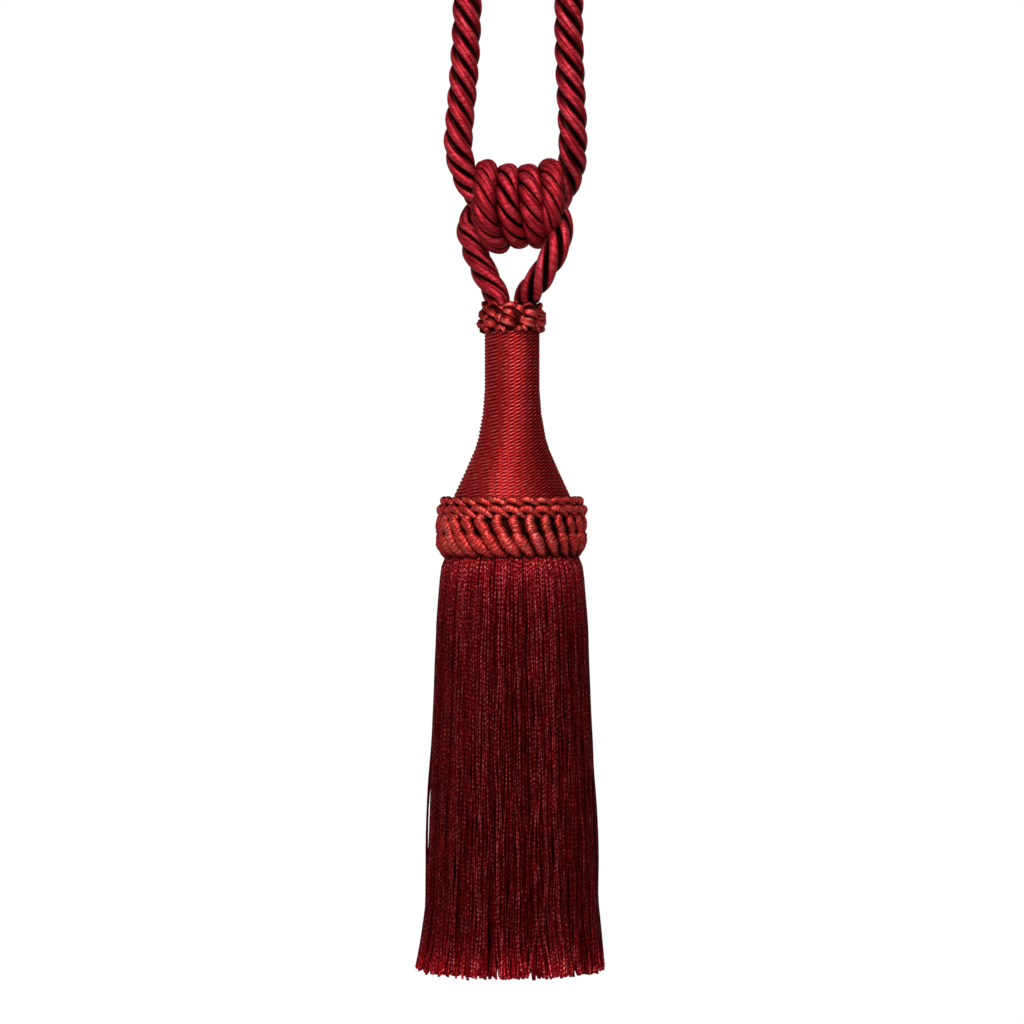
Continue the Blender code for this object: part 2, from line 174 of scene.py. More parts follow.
def loop_rows():
    """The half turn over the hook, from the right leg to the left one."""
    turn = np.linspace(0.0, math.pi, LOOP_STEPS + 1)
    z = ROPE_RADIUS - LOOP_RADIUS + LOOP_RADIUS * np.sin(turn)
    return stacked(LOOP_X + LOOP_RADIUS * np.cos(turn), 0.0, z, ROPE_RADIUS, ROPE_RADIUS)


def summed(steps):
    """Running sums that start from 0."""
    return np.concatenate(([0.0], np.cumsum(steps)))


def even_rows(rows, step):
    """The rows laid out again at an even distance along their own line, and the line's length."""
    along = summed(np.linalg.norm(np.diff(rows[:, :3], axis=0), axis=1))
    count = round(along[-1] / step)
    wanted = np.linspace(0.0, along[-1], count + 1)
    return stacked(*(np.interp(wanted, along, column) for column in rows.T)), along[-1]


def rope_route(step):
    """Rows x, y, z, half width, half depth along the whole rope, and its length."""
    route = np.vstack(
        (LOWER_LEFT_LEG, knot_rows(), UPPER_RIGHT_LEG, loop_rows(), UPPER_LEFT_LEG)
    )
    return even_rows(smooth_rows(route, [ROUTE_STEPS] * (len(route) - 1)), step)


def unit(vectors):
    return vectors / np.linalg.norm(vectors, axis=-1, keepdims=True)


def ahead_of(points):
    """Directions along a line of points."""
    first, last = points[1:2] - points[:1], points[-1:] - points[-2:-1]
    return unit(np.vstack((first, points[2:] - points[:-2], last)))


def turn_of(count):
    """Angles of count points round a ring."""
    return TURN * np.arange(count) / count


def turned(outline, count):
    """Rings of count points round the axis, one for each radius and z of the outline."""
    turn = turn_of(count)
    return np.array([[(r * math.cos(t), r * math.sin(t), z) for t in turn] for r, z in outline])


def carried_frames(points, first):
    """Directions ahead and across at each point, the second carried along without twist."""
    ahead = ahead_of(points)
    across = np.empty_like(points)
    current = np.array(first, float)
    for i, direction in enumerate(ahead):
        current = current - direction * current.dot(direction)
        current /= np.linalg.norm(current)
        across[i] = current
    return ahead, across


def add_object(name, data):
    made = bpy.data.objects.new(name, data)
    bpy.context.scene.collection.objects.link(made)
    return made


class Yarns:
    """Tubes gathered into one mesh, each vertex with what the shaders need.

    fibre is the vertex's place in the yarn, across it twice and along it, in millimetres. The next
    value is its share of painted light: 0 where shade is painted, in a groove or on a side turned
    away, and 1 where it is painted fully lit. tint lightens the yarn, and glow makes it paler.
    """

    def __init__(self):
        self.points, self.faces, self.fibre, self.values = [], [], [], []
        self.count = 0

    def add(self, rings, fibre, painted_light, tint, glow=0.0, closed=False):
        """A tube through rings (n, m, 3), with a cap on each end unless it closes on itself."""
        n, m = rings.shape[:2]
        index = self.count + np.arange(n * m).reshape(n, m)
        low = index if closed else index[:-1]
        high = np.roll(index, -1, axis=0) if closed else index[1:]
        quads = np.stack((low, np.roll(low, -1, axis=1), np.roll(high, -1, axis=1), high), axis=-1)
        self.faces.extend(quads.reshape(-1, 4).tolist())
        if not closed:
            self.faces += [index[0][::-1].tolist(), index[-1].tolist()]
        self.points.append(rings.reshape(-1, 3))
        self.fibre.append(np.broadcast_to(fibre, (n, m, 3)).reshape(-1, 3))
        spread = [np.broadcast_to(v, (n, m)) for v in (painted_light, tint, glow)]
        self.values.append(stacked(*spread).reshape(-1, 3))
        self.count += n * m

    def piece(self, name, finish, slot):
        """Makes the mesh's object, smooth-shaded, riding on the tassel's one body."""
        mesh = bpy.data.meshes.new(name)
        mesh.from_pydata((np.vstack(self.points) * MM).tolist(), [], self.faces)
        fibre = mesh.attributes.new("fibre", "FLOAT_VECTOR", "POINT")
        fibre.data.foreach_set("vector", np.vstack(self.fibre).ravel())
        values = np.vstack(self.values)
        for column, label in enumerate(("painted_light", "tint", "glow")):
            made = mesh.attributes.new(label, "FLOAT", "POINT")
            made.data.foreach_set("value", np.ascontiguousarray(values[:, column]))
        mesh.materials.append(finish)
        mesh.shade_smooth()
        made = add_object(name, mesh)
        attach(made, "root")
        return made


def ring_points(centres, side, out, across, depth):
    """Points round each centre: side * across + out * depth, with a row for each centre or one."""
    return (
        centres[:, None, :]
        + side[:, None, :] * across[..., None]
        + out[:, None, :] * depth[..., None]
    )


class Wire:
    """A shader output. Python arithmetic on it adds Math nodes."""

    def __init__(self, tree, socket):
        self.tree, self.socket = tree, socket

    def maths(self, operation, *values):
        settings = {"operation": operation}
        return add_node(self.tree, "ShaderNodeMath", settings, dict(enumerate(values)))

    def __add__(self, other):
        return self.maths("ADD", self, other)

    def __sub__(self, other):
        return self.maths("SUBTRACT", self, other)

    def __mul__(self, other):
        return self.maths("MULTIPLY", self, other)

    def __pow__(self, other):
        return self.maths("POWER", self, other)

    __radd__ = __add__

    def clamped(self):
        return self.maths("MINIMUM", self.maths("MAXIMUM", self, 0.0), 1.0)


def bare_tree(owner):
    """The nodes of a material or a world, with none in them yet."""
    owner.use_nodes = True
    owner.node_tree.nodes.clear()
    return owner.node_tree


def add_node(tree, kind, settings=None, inputs=None, output=0):
    """Adds a node: its settings first, then the values or links of its sockets."""
    made = tree.nodes.new(kind)
    for name, value in (settings or {}).items():
        setattr(made, name, value)
    for key, value in (inputs or {}).items():
        if isinstance(value, Wire):
            tree.links.new(value.socket, made.inputs[key])
        else:
            made.inputs[key].default_value = value
    return None if output is None else Wire(tree, made.outputs[output])


class Finish:
    """A material and its nodes."""

    def __init__(self, name):
        self.material = bpy.data.materials.new(name)
        self.tree = bare_tree(self.material)

    def node(self, kind, settings=None, inputs=None, output=0):
        return add_node(self.tree, kind, settings, inputs, output)

    def attribute(self, name, output="Fac"):
        return self.node("ShaderNodeAttribute", {"attribute_name": name}, output=output)

    def stretched(self, place, scale):
        """The place in the yarn, scaled along each of its directions."""
        return self.node("ShaderNodeVectorMath", {"operation": "MULTIPLY"}, {0: place, 1: scale})

    def noise(self, place, scale, detail):
        inputs = {"Vector": place, "Scale": scale, "Detail": detail}
        return self.node("ShaderNodeTexNoise", inputs=inputs)

    def ply_ridges(self, place, plies, lay):
        """1 along the ridges of the plies twisted round a yarn, and 0 in the grooves between."""
        apart = self.tree.nodes.new("ShaderNodeSeparateXYZ")
        self.tree.links.new(place.socket, apart.inputs[0])
        x, y, z = [Wire(self.tree, socket) for socket in apart.outputs]
        turn = (y.maths("ARCTAN2", y, x) + z * (TURN / lay)) * (0.5 * plies)
        return turn.maths("ABSOLUTE", turn.maths("COSINE", turn)) ** 0.6

    def blend(self, factor, first, second):
        """A colour between two."""
        settings = {"data_type": "RGBA", "clamp_factor": True}
        return self.node("ShaderNodeMix", settings, {0: factor, 6: first, 7: second}, output=2)

    def bump(self, height, strength, distance):
        inputs = {"Strength": strength, "Distance": distance, "Height": height}
        return self.node("ShaderNodeBump", inputs=inputs)

    def shade(self, base, roughness, normal, constants):
        """The Principled surface: what varies is linked, and the rest are plain numbers."""
        inputs = {"Base Color": base, "Roughness": roughness, "Normal": normal, **constants}
        surface = self.node("ShaderNodeBsdfPrincipled", inputs=inputs)
        self.node("ShaderNodeOutputMaterial", inputs={"Surface": surface}, output=None)
        return self.material


def rgba(colour, share=1.0):
    return (*[c * share for c in colour], 1.0)


def silk(name, colours, constants, shade_scale, fall, rough, grains, level=0.8, plies=None, glow=None):
    """Floss or yarn: painted shade in its grooves, a painted highlight on its crests, streaked by
    its own threads.

    colours are the yarn's own, the share of it left where shade is painted in the grooves, and the
    colour of the painted highlight. grains holds rows of scale across and along, share of the light
    and relief in millimetres, and plies their number, lay, share and relief. level is the mean
    painted light on the crests, and glow the most that the yarn's glow adds to its colour.
    """
    colour, deep, painted_highlight = colours
    finish = Finish(name)
    painted_light, tint = finish.attribute("painted_light"), finish.attribute("tint")
    place = finish.attribute("fibre", "Vector")
    cloud = finish.noise(finish.stretched(place, (0.12, 0.12, 0.06)), 1.0, 2.0) - 0.5
    light = level + cloud * 0.3 + tint
    height, rough = cloud * 0.1, rough + cloud * 0.1
    for scale, share, relief in grains:
        grain = finish.noise(finish.stretched(place, scale), 1.0, 3.0) - 0.5
        light = light + grain * share
        height = height + grain * relief
        rough = rough + grain * 0.2
    if plies:
        number, lay, share, relief = plies
        ridge = finish.ply_ridges(place, number, lay)
        # Painted highlights on the plies' ridges, and painted shade between them.
        light = light + (ridge - 0.6) * share
        height = height + ridge * relief
    # Painted shade: the colour darkens towards its groove share where the painted light is low.
    light = (painted_light * shade_scale).clamped() ** fall * light
    base = finish.blend((light * 1.25).clamped(), rgba(colour, deep), rgba(colour))
    # Painted highlight: the colour turns to the highlight's where the painted light is high.
    base = finish.blend(((light - 0.7) * 1.7).clamped(), base, rgba(painted_highlight))
    if glow:
        gain = finish.attribute("glow") * glow + 1.0
        base = finish.node("ShaderNodeVectorMath", {"operation": "SCALE"}, {0: base, 3: gain})
    return finish.shade(base, rough, finish.bump(height, 1.0, MM), constants)


def colour_property(owner, default, name="Colour"):
    return FloatVectorProperty(
        name=name, description="Colour of " + owner,
        default=default, min=0.0, max=1.0, subtype="COLOR",
    )


class TASSEL_PG_rope(PropertyGroup):
    lay: FloatProperty(
        name="Lay", description="Length of one turn of the rope's strands, in millimetres",
        default=35.0, min=15.0, max=80.0,
    )
    groove: FloatProperty(
        name="Ply groove", description="Depth of the grooves between a strand's plies",
        default=0.24, min=0.0, max=0.5, subtype="FACTOR",
    )
    colour: colour_property("the rope's floss", (0.29, 0.010, 0.017))


class TASSEL_PG_winding(PropertyGroup):
    pitch: FloatProperty(
        name="Pitch", description="Distance between the plies' ridges down the head, in millimetres",
        default=1.34, min=0.8, max=4.0,
    )
    slant: FloatProperty(
        name="Slant", description="Slant of the plies at the front, in degrees",
        default=26.0, min=0.0, max=45.0,
    )
    colour: colour_property("the head's cord", (0.35, 0.012, 0.014))


class TASSEL_PG_trim(PropertyGroup):
    clusters: IntProperty(
        name="Clusters", description="Clusters of floss loops round the collar",
        default=9, min=5, max=16,
    )
    cords: IntProperty(
        name="Gimp cords", description="Gimp cords round the ruff", default=27, min=12, max=40,
    )
    wrap: FloatProperty(
        name="Wrap pitch", description="Distance between the wraps of a gimp cord, in millimetres",
        default=1.1, min=0.3, max=2.0,
    )
    colour: colour_property("the collar and the ruff", (0.42, 0.025, 0.022))


class TASSEL_PG_fringe(PropertyGroup):
    yarns: IntProperty(
        name="Yarns", description="Yarns in the skirt's outer layer", default=236, min=40, max=260,
    )
    thickness: FloatProperty(
        name="Thickness", description="Thickness of a fringe yarn, in millimetres",
        default=0.98, min=0.6, max=3.0,
    )
    colour: colour_property("the fringe", (0.086, 0.0015, 0.0026))


class TASSEL_PG_stage(PropertyGroup):
    paper: colour_property("the floor", (0.9, 0.9, 0.9), name="Paper")
    key: FloatProperty(
        name="Key light", description="Power of the main softbox, in watts",
        default=26.0, min=0.0, max=500.0,
    )


class TASSEL_OT_rope(Operator):
    """Lays the rope's four strands along the loop, the knot and both legs."""

    bl_idname = "tassel.rope"
    bl_label = "Rope"

    STEP = 1.0
    STRANDS = 4
    SIDES = 24
    PLIES = 2
    # Strands that touch one another: shares of the rope's radius.
    STRAND_OFFSET = 0.586
    STRAND_RADIUS = 0.425
    CORE = 0.3
    # Strands press one another flat: 1 leaves them round, and less fills the rope's outline.
    PRESSED = 0.64
    # Share of the rope's turn that the plies lag, and radians between two strands' plies.
    PLY_LAG = 0.4
    PLY_APART = 0.7
    # The lay is shorter in the knot, and the shade painted in the grooves is wider in the loop.
    # Columns: distance from the left root, share of the lay, share of the radius within which shade
    # is painted.
    LAYS = (
        (0, 1.1, 0.775), (40, 1.1, 0.775), (62, 0.75, 0.725), (325, 0.75, 0.725), (345, 0.95, 0.835),
        (460, 1.0, 0.845), (560, 1.0, 0.845), (580, 0.9, 0.83), (640, 0.95, 0.78), (670, 1.15, 0.84),
        (715, 1.1, 0.82),
    )
    # Distances from the left root where the coils begin and end, and how dark their sides are.
    COILED = (52, 72, 318, 335)
    COIL_SHADE = 0.85
    # Share of the radius over which a strand brightens out of the shade painted in its groove.
    BRIGHTENS = 0.10
    # How much lighter each strand is, and how far apart they lie in their noise.
    TINTS = (0.02, -0.03, 0.04, -0.02)
    NOISE_APART = 1000.0

    def execute(self, context):
        given = context.scene.tassel_rope
        rows, length = rope_route(self.STEP)
        along = np.linspace(0.0, length, len(rows))
        ahead, across = carried_frames(rows[:, :3], (1.0, 0.0, 0.0))
        marks, shares, darks = np.array(self.LAYS).T
        share, dark = np.interp(along, marks, shares), np.interp(along, marks, darks)
        coiled = np.interp(along, self.COILED, (0.0, 1.0, 1.0, 0.0))[:, None]
        lay = -TURN * np.cumsum(np.gradient(along) / (given.lay * share))
        radius = self.STRAND_RADIUS * ROPE_RADIUS
        yarns = Yarns()
        for strand in range(self.STRANDS):
            turn = lay + TURN * strand / self.STRANDS
            place, painted_light, ring = self.section(turn, lay, dark, strand, given.groove)
            rings = self.squeezed(rows, ahead, across, place)
            # Little light reaches the rope where one coil of the knot lies against the next.
            beside = np.abs(rings[..., 0] - rows[:, :1]) / rows[:, 3:4]
            painted_light = painted_light * (1.0 - self.COIL_SHADE * coiled * beside**4)
            far = along[:, None] + 0.8 * np.sin(ring) + self.NOISE_APART * strand
            fibre = stacked(radius * np.cos(ring), radius * np.sin(ring), far)
            yarns.add(rings, fibre, painted_light, self.TINTS[strand])
        # The round middle that closes the gaps between the strands, painted black as the shade
        # within them.
        ring = turn_of(8)[None]
        place = self.CORE * np.cos(ring), self.CORE * np.sin(ring)
        rings = self.squeezed(rows, ahead, across, place)
        yarns.add(rings, rings, 0.0, 0.0)
        # The floss's colour, the share of it left where shade is painted, and the painted
        # highlight's colour.
        colours = given.colour, 0.03, (0.30, 0.066, 0.078)
        finish = silk(
            "rope_floss", colours, {**SATIN, "Metallic": 0.5}, shade_scale=1.1, fall=1.4, rough=0.47,
            grains=(((1.8, 1.8, 0.1), 0.4, 0.1), ((0.16, 0.16, 1.2), 1.1, 0.4)),
        )
        rope = yarns.piece("rope_strands", finish, "rope")
        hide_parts("rope")
        return {"FINISHED"}

    def section(self, turn, lay, dark, strand, groove):
        """The strand's outline in the rope's section, its painted light, and angles on the strand.
        """
        ply = turn_of(self.SIDES)[None]
        # Angle on the strand, in a frame that lags behind the rope's own turn.
        facing = ply + (lay * (1.0 - self.PLY_LAG))[:, None] + self.PLY_APART * strand
        lobe = np.abs(np.mod(ply * self.PLIES / TURN, 1.0) - 0.5) * 2.0
        radius = self.STRAND_RADIUS * (1.0 - groove * lobe**3)
        p = self.STRAND_OFFSET * np.cos(turn)[:, None] + radius * np.cos(facing)
        q = self.STRAND_OFFSET * np.sin(turn)[:, None] + radius * np.sin(facing)
        outward = np.hypot(p, q)
        pressed = outward**self.PRESSED
        # Painted highlight: the shoulders beside a groove are the brightest, as on a strand that is
        # pressed flat, and shade is painted in the grooves between the plies.
        level = np.clip((pressed - dark[:, None]) / self.BRIGHTENS, 0.0, 2.0)
        painted_light = np.minimum(level, 1.06 - 0.12 * level) * (1.0 - 0.6 * lobe**8)
        return (p * pressed / outward, q * pressed / outward), painted_light, ply

    def squeezed(self, rows, ahead, across, place):
        """Points of the section, narrowed along X and in depth as the rows say."""
        width, depth = rows[:, 3], rows[:, 4]
        p, q = place
        spoke = across[:, None] * p[..., None] + np.cross(ahead, across)[:, None] * q[..., None]
        flat = np.array((1.0, 0.0, 0.0)) - ahead * ahead[:, :1]
        size = np.linalg.norm(flat, axis=1, keepdims=True)
        flat = np.where(size > ROPE_LEAST_FLAT, flat / np.maximum(size, TINY), across)
        share = np.einsum("nmk,nk->nm", spoke, flat)
        part = flat[:, None] * share[..., None]
        rest = spoke - part
        boxy = (2.0 + ROPE_BOXY * (ROPE_RADIUS - width))[:, None]
        reach = np.linalg.norm(spoke, axis=2)
        size = (np.abs(share) ** boxy + np.linalg.norm(rest, axis=2) ** boxy) ** (1.0 / boxy)
        full = (reach / np.maximum(size, TINY))[..., None]
        sized = part * width[:, None, None] + rest * depth[:, None, None]
        return rows[:, None, :3] + sized * full


class TASSEL_OT_winding(Operator):
    """Winds the head with two-ply cord."""

    bl_idname = "tassel.winding"
    bl_label = "Head winding"

    STEP = 0.2
    COLUMNS = 256
    # How the plies lie round the head. Columns: degrees from the front, share of the slant, and how
    # heavily shade is painted in the grooves, most on the right, the side away from the key light.
    ROUND = (
        (-180, 0.5, 1.0), (-110, 0.25, 0.9), (-60, 0.2, 0.85), (-35, 0.55, 0.9), (-12, 0.95, 1.0),
        (10, 1.05, 1.0), (30, 1.12, 1.15), (50, 1.2, 1.6), (80, 1.15, 1.7), (130, 0.8, 1.3),
        (180, 0.5, 1.0),
    )
    # Depths of the grooves between the plies and between the turns, and how dark the shade painted
    # in each is.
    RIDGE = 0.72
    TURNS_RIDGE = 0.2
    PLY_SHADE = 0.6
    TURNS_SHADE = 0.36
    # Degrees from the front beyond which the plies are eased to meet at the back.
    EASED = 130.0

    def execute(self, context):
        given = context.scene.tassel_winding
        z = np.linspace(WINDING_TOP, WINDING_FOOT, 2000)
        radius = read_table(HEAD_PROFILE, z)
        down = summed(np.hypot(np.diff(z), np.diff(radius)))
        rows = np.linspace(0.0, down[-1], round(down[-1] / self.STEP))
        z, radius = np.interp(rows, down, z), np.interp(rows, down, radius)
        degrees = np.linspace(-180.0, 180.0, self.COLUMNS + 1)[:-1]
        angle = np.radians(degrees)
        ply = self.ply_count(rows, radius, degrees, given)
        ridge = np.abs(np.cos(math.pi * ply)) ** 0.8
        turns = np.abs(np.cos(math.pi * (rows[:, None] / given.pitch + angle / TURN))) ** 0.8
        sunk = self.RIDGE * (1.0 - ridge) + self.TURNS_RIDGE * (1.0 - turns)
        out_way = np.gradient(-z, rows)[:, None]
        reach = radius[:, None] - sunk * out_way
        height = z[:, None] - sunk * np.gradient(radius, rows)[:, None]
        rings = stacked(reach * np.sin(angle), -reach * np.cos(angle), height)
        around, _, shade_scale = np.array(self.ROUND, float).T
        # Painted shade in the grooves between the plies and between the turns, heavier on the right,
        # away from the key light.
        shade = 0.96 - self.PLY_SHADE * ridge - self.TURNS_SHADE * turns
        painted_light = np.clip(1.0 - np.interp(degrees, around, shade_scale) * shade, 0, 1)
        yarns = Yarns()
        yarns.add(rings, stacked(ply, 0.0, radius[:, None] * angle), painted_light, 0.0)
        # The cord's colour, the share of it left where shade is painted, and the painted highlight's
        # colour.
        colours = given.colour, 0.05, (0.40, 0.145, 0.14)
        finish = silk(
            "winding_cord", colours, SATIN, shade_scale=1.1, fall=1.7, rough=0.44,
            grains=(((1.0, 1.0, 0.35), 0.9, 0.05), ((3.0, 1.0, 0.9), 0.4, 0.05)),
        )
        winding = yarns.piece("head_winding", finish, "head")
        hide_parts("head")
        return {"FINISHED"}

    def ply_count(self, rows, radius, degrees, given):
        """How many plies lie above each point: a whole number all the way round, so they meet."""
        fine = np.linspace(-180.0, 180.0, 721)
        share = np.interp(fine, *np.array(self.ROUND, float).T[:2])
        slope = np.tan(np.radians(given.slant * share))
        risen = summed(slope[1:] * math.pi / 360.0)
        risen -= np.interp(0.0, fine, risen)
        exact = radius * (risen[-1] - risen[0]) / given.pitch
        behind = np.clip((np.abs(degrees) - self.EASED) / (180.0 - self.EASED), 0, 1)
        mend = 0.5 * np.sign(degrees) * behind * (np.round(exact) - exact)[:, None]
        risen = np.interp(degrees, fine, risen)
        return (rows[:, None] + radius[:, None] * risen) / given.pitch + mend


class TASSEL_OT_collar(Operator):
    """Sets the clusters of floss loops round the top of the head."""

    bl_idname = "tassel.collar"
    bl_label = "Collar"

    # One cluster's loops. Columns: angle as a share of a cluster, z, radius of the middle,
    # half length, half width, thickness, tilt in degrees, lean outwards in degrees, bend.
    LOOPS = (
        (0.03, -163.7, 10.5, 3.9, 1.5, 1.4, -8, 20, 1.9),
        (0.08, -166.7, 11.2, 3.6, 2.1, 1.6, -27, 8, 0.5),
        (-0.04, -169.7, 11.4, 4.2, 2.4, 1.8, -20, -8, 0.4),
        (-0.32, -172.2, 10.8, 2.3, 1.4, 1.3, -58, -20, 0.3),
        (0.50, -165.2, 10.2, 3.0, 1.7, 1.4, -36, 16, 0.8),
        (0.44, -171.6, 10.5, 2.7, 1.6, 1.3, 16, -20, 0.4),
        (-0.48, -168.4, 10.5, 2.6, 1.5, 1.4, 58, 2, 0.5),
    )
    # How far a cluster or a loop may stray round the collar, as a share of a cluster.
    STRAY_ANGLE = 0.06
    LENGTHWAYS = 18
    SIDES = 16
    RIDGES = 6
    # How far round the first cluster stands, in radians.
    START = -0.065
    # Radius at which the loops are darkest, and how far out they are fully lit.
    DARK_WITHIN = 9.2
    LIT_AFTER = 2.6
    SEED = 5

    def execute(self, context):
        given = context.scene.tassel_trim
        drawn = np.random.RandomState(self.SEED)
        yarns = Yarns()
        for cluster in range(given.clusters):
            stray = self.STRAY_ANGLE * drawn.uniform(-1, 1)
            middle = TURN * (cluster + stray) / given.clusters + self.START
            for loop in self.LOOPS:
                self.add_loop(yarns, middle, given.clusters, loop, drawn)
        # The cord under the loops, which closes the collar round the ropes and the neck, painted
        # dark as the shade beneath them.
        turn, ring = turn_of(48), turn_of(10)[None]
        out = stacked(np.cos(turn), np.sin(turn), 0.0)
        centre = stacked(9.6 * np.cos(turn), 9.6 * np.sin(turn), -168.0)
        rings = ring_points(centre, UP[None], out, 5.0 * np.sin(ring), 1.5 * np.cos(ring))
        yarns.add(rings, rings, 0.12, 0.0, closed=True)
        # The floss's colour, the share of it left where shade is painted, and the painted
        # highlight's colour.
        colours = given.colour, 0.03, (0.60, 0.28, 0.25)
        finish = silk(
            "collar_floss", colours, SATIN, shade_scale=1.3, fall=2.0, rough=0.38,
            grains=(((2.0, 2.0, 0.3), 1.1, 0.35), ((0.6, 0.6, 0.6), 0.4, 0.1)),
        )
        collar = yarns.piece("collar_loops", finish, "collar")
        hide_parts("collar")
        return {"FINISHED"}

    def add_loop(self, yarns, middle, clusters, loop, drawn):
        """One folded loop of floss: round at one end, pointed at the other, creased along."""
        share, z, radius, half, wide, thick, tilt, lean, bend = loop
        jitter = drawn.uniform(-1, 1, 9)
        angle = middle + TURN * (share + self.STRAY_ANGLE * jitter[0]) / clusters
        z += 0.5 * jitter[1]
        radius += 0.35 * jitter[2]
        tilt = math.radians(tilt + 13 * jitter[3])
        lean = math.radians(lean + 9 * jitter[4])
        half *= 1.0 + 0.14 * jitter[5]
        wide *= 1.0 + 0.14 * jitter[6]
        bend *= 1.0 + 0.3 * jitter[8]
        out = np.array((math.sin(angle), -math.cos(angle), 0.0))
        round_way = np.array((math.cos(angle), math.sin(angle), 0.0))
        out_leant = out * math.cos(lean) + UP * math.sin(lean)
        up_leant = UP * math.cos(lean) - out * math.sin(lean)
        length_way = round_way * math.cos(tilt) + up_leant * math.sin(tilt)
        width_way = up_leant * math.cos(tilt) - round_way * math.sin(tilt)
        s = np.linspace(0.0, 1.0, self.LENGTHWAYS) ** 1.15
        swell = 1.62 * (s + 1e-4) ** 0.42 * (1.0 - s) ** 0.72
        swell[0] = swell[-1] = 0.03
        arch = np.sin(math.pi * s)[:, None]
        reach = (half * (2 * s - 1))[:, None]
        centre = out * radius + UP * z + length_way * reach + out_leant * (1.1 * arch - 0.6)
        centre = centre + width_way * (bend * (arch - 0.5)) - out * (0.045 * reach**2)
        ring = turn_of(self.SIDES)
        folds = np.cos(self.RIDGES * ring + 1.2 * s[:, None] * math.pi + 3 * jitter[7])
        crease = np.exp(-((ring - 1.1 - 0.5 * jitter[7]) / 0.3) ** 2)
        shape = swell[:, None] * (1.0 + 0.09 * folds - 0.22 * crease)
        broad, deep = shape * wide * np.cos(ring), shape * thick * np.sin(ring)
        rings = ring_points(centre, width_way[None], out_leant[None], broad, deep)
        # Painted light: the outer face is lit, and shade is painted on the inner face, in the
        # crease, on the thin ends and on loops that lie deep in the collar.
        painted_light = np.clip(0.5 + 0.6 * np.sin(ring), 0, 1) * (0.86 + 0.14 * folds)
        painted_light = painted_light * (1.0 - 0.6 * crease) * np.clip(0.25 + swell, 0, 1)[:, None]
        away = np.hypot(rings[..., 0], rings[..., 1])
        painted_light = painted_light * np.clip((away - self.DARK_WITHIN) / self.LIT_AFTER, LEAST_LIT, 1.0)
        far = (half * 2 * s)[:, None] + 90.0 * middle + 31.0 * share
        fibre = stacked(wide * np.cos(ring)[None], thick * np.sin(ring)[None], far)
        yarns.add(rings, fibre, painted_light, 0.1 * jitter[7])


